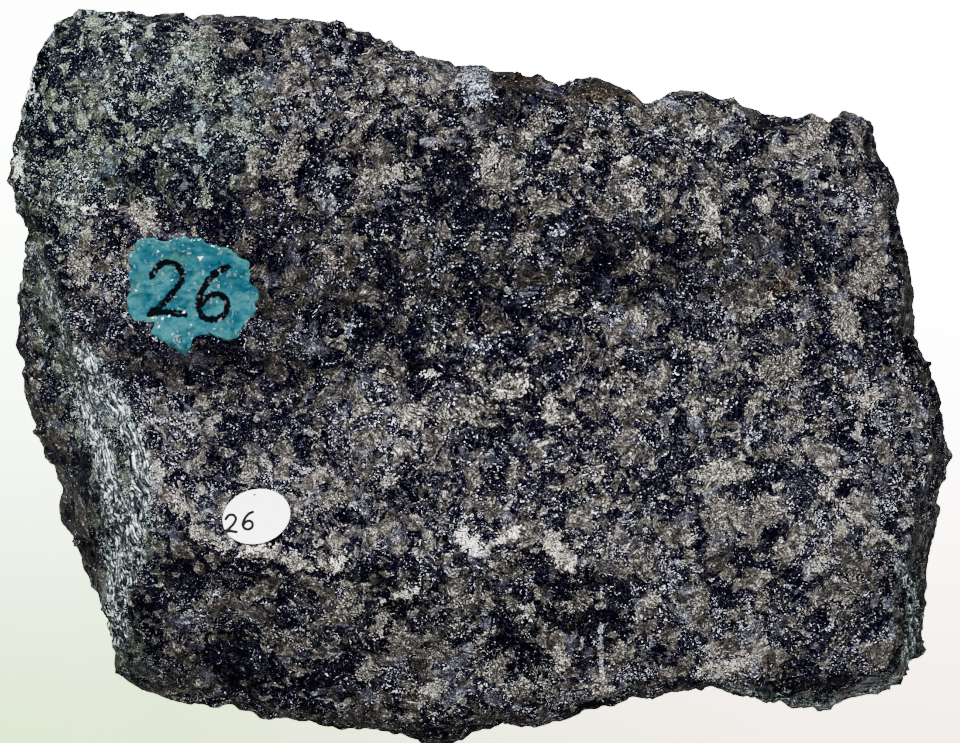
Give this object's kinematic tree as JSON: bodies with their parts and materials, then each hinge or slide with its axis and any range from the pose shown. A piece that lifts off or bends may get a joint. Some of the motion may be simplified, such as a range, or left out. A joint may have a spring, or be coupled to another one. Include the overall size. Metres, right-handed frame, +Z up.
{
  "type": "gabbro hand specimen",
  "caption": "Broken block of coarse dark gabbro with a ridge and a shallow valley on top, numbered on a dab of paint and a paper dot.",
  "frame": {"origin": "on the surface that the stone rests on, under the middle of its box", "axes": "+X along the stone's length, towards its layered end; +Z up, from the flat spot to the numbered face"},
  "size_m": [0.1068, 0.0818, 0.0367],
  "materials": {
    "gabbro": "rough broken face of dark pyroxene clots and pale feldspar, with small glints",
    "turquoise_paint": "glossy brushed enamel over rough stone",
    "white_paper": "matt paper label, slightly stained"
  },
  "bodies": {
    "root": {"gabbro_stone": "gabbro", "turquoise_paint_dab": "turquoise_paint", "white_paper_sticker": "white_paper"}
  },
  "joints": []
}
